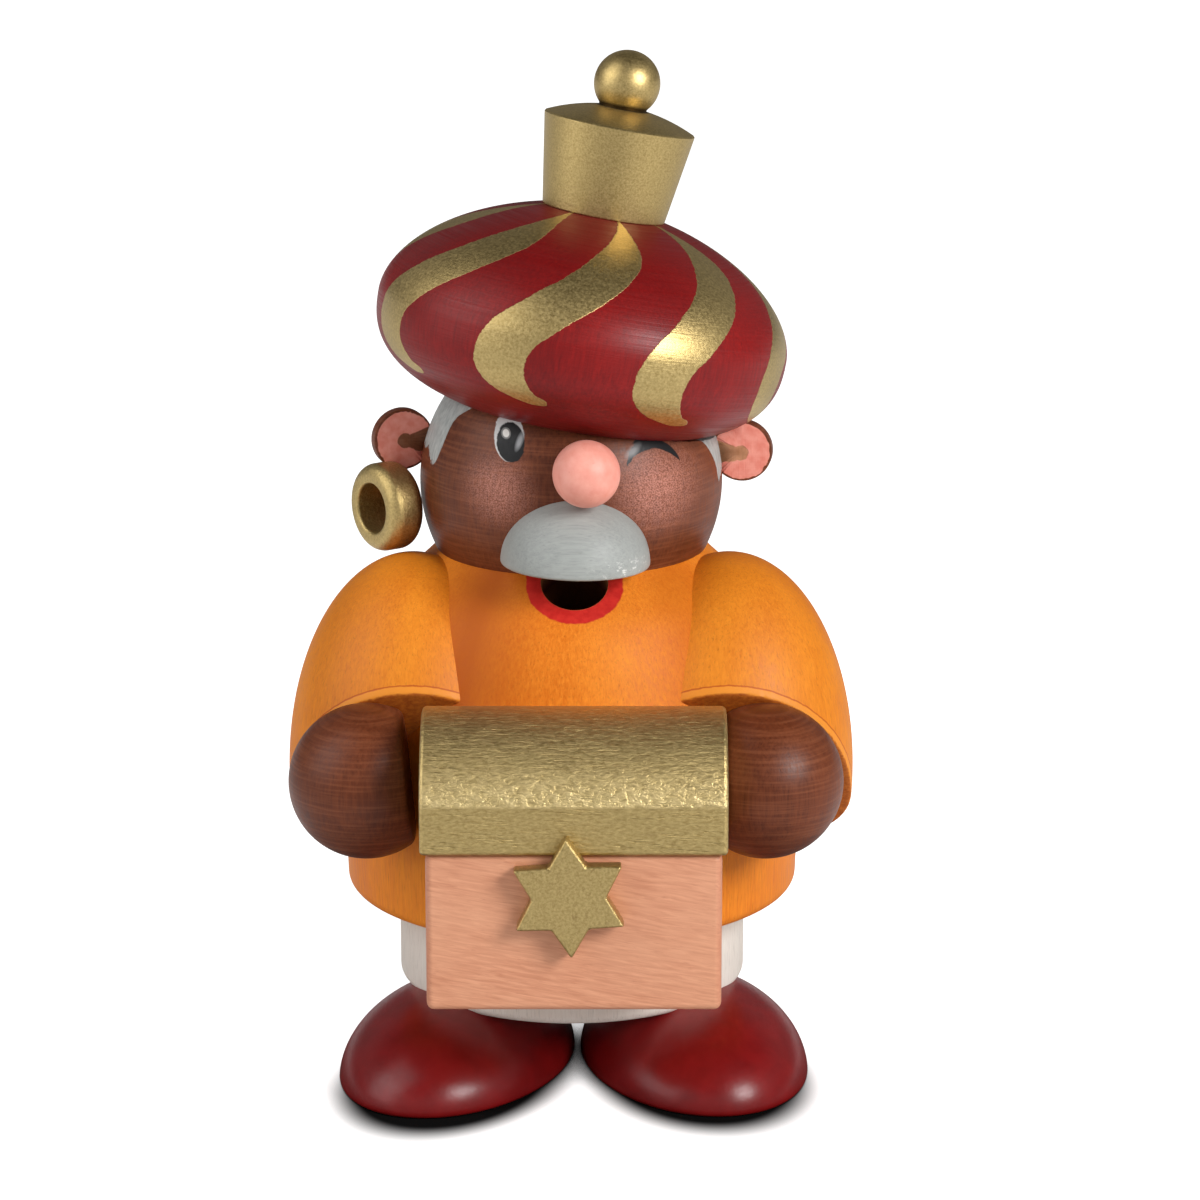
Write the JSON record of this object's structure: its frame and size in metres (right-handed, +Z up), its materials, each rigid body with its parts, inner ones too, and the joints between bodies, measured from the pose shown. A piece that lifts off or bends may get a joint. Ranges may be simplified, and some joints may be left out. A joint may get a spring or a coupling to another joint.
{
  "type": "incense smoker",
  "caption": "Turned wooden incense smoker: a robed figure in a turban carries a treasure chest; incense burns on a dish in its hollow robe and the smoke leaves by the mouth.",
  "frame": {"origin": "on the floor, under the middle of the figure's box", "axes": "+Z up; the figure looks towards -Y; +X is on the viewer's right, the figure's left"},
  "size_m": [0.0858, 0.0882, 0.155],
  "materials": {
    "cream_paint": "cream stained wood, matt",
    "red_paint": "deep red stain under a satin varnish",
    "orange_stain": "orange stain with the grain showing, matt",
    "brown_stain": "dark brown stain with the grain showing, satin",
    "pink_paint": "salmon pink paint, matt",
    "grey_paint": "grey stain, matt",
    "gold_paint": "gold bronze paint, satin",
    "beech": "plain beech with a thin clear varnish",
    "peg_wood": "plain turned beech",
    "dish_metal": "pressed tinned sheet steel",
    "incense": "pressed charcoal and resin powder, matt"
  },
  "bodies": {
    "base": {"trousers": "cream_paint", "shoe_right": "red_paint", "shoe_left": "red_paint", "shoe_pegs": "peg_wood"},
    "dish": {"incense_dish": "dish_metal"},
    "figure": {"robe": "orange_stain", "arm_right": "orange_stain", "arm_left": "orange_stain", "arm_pegs": "peg_wood", "hand_right": "brown_stain", "hand_left": "brown_stain", "hand_pegs": "peg_wood", "neck_peg": "peg_wood", "head": "brown_stain", "nose": "pink_paint", "moustache": "grey_paint", "ear_right": "brown_stain", "ear_left": "brown_stain", "earring": "gold_paint", "turban": "red_paint", "turban_peg": "peg_wood", "hat_crown": "gold_paint", "crown_peg": "peg_wood", "hat_knob": "gold_paint", "chest_box": "beech", "chest_lid": "gold_paint", "chest_star": "gold_paint"},
    "incense": {"incense_cone": "incense"}
  },
  "joints": [
    {"name": "dish_turn", "type": "hinge", "parent": "base", "child": "dish", "pos_m": [0, 0.00891, 0.0354], "axis": [0, 0, 1], "continuous": true},
    {"name": "figure_lift", "type": "slide", "parent": "dish", "child": "figure", "axis": [0, 0, 1], "range_m": [0, 0.045]},
    {"name": "cone_lift", "type": "slide", "parent": "dish", "child": "incense", "axis": [0, 0, 1], "range_m": [0, 0.008]}
  ]
}
